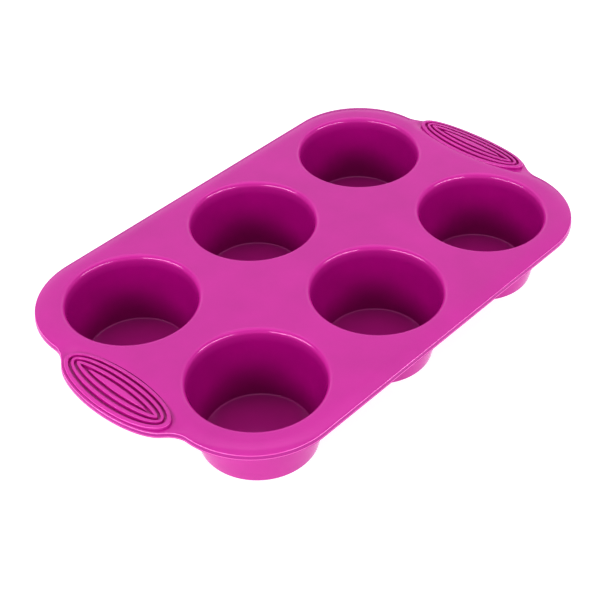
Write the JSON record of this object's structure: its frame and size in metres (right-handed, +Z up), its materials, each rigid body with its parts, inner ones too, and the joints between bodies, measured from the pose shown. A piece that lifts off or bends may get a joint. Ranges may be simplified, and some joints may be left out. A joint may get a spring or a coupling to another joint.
{
  "type": "muffin mould",
  "caption": "Flexible silicone muffin mould: a thin tray with rows of tapered round cups, a rolled-down border and an oval ribbed grip on a tab at each end.",
  "frame": {"origin": "on the plane that the cups stand on, under the middle of the deck", "axes": "+X along the rows of three cups, through the middles of both grips; +Z up out of the cups; +Y across the two rows"},
  "size_m": [0.3054, 0.1848, 0.0404],
  "materials": {
    "silicone_deck": "satin-gloss moulded silicone",
    "silicone_grip": "satin moulded silicone",
    "silicone_cup": "satin-gloss moulded silicone"
  },
  "bodies": {
    "root": {"deck": "silicone_deck", "rim_front": "silicone_deck", "rim_back": "silicone_deck", "handle_tab_left": "silicone_deck", "handle_tab_right": "silicone_deck", "grip_pad_left": "silicone_grip", "grip_pad_right": "silicone_grip", "grip_ring_outer_left": "silicone_grip", "grip_ring_outer_right": "silicone_grip", "grip_ring_middle_left": "silicone_grip", "grip_ring_middle_right": "silicone_grip", "grip_ring_inner_left": "silicone_grip", "grip_ring_inner_right": "silicone_grip", "grip_eye_left": "silicone_grip", "grip_eye_right": "silicone_grip", "cup_wall_front_left": "silicone_cup", "cup_wall_front_middle": "silicone_cup", "cup_wall_front_right": "silicone_cup", "cup_wall_back_left": "silicone_cup", "cup_wall_back_middle": "silicone_cup", "cup_wall_back_right": "silicone_cup", "cup_floor_front_left": "silicone_cup", "cup_floor_front_middle": "silicone_cup", "cup_floor_front_right": "silicone_cup", "cup_floor_back_left": "silicone_cup", "cup_floor_back_middle": "silicone_cup", "cup_floor_back_right": "silicone_cup"}
  },
  "joints": []
}
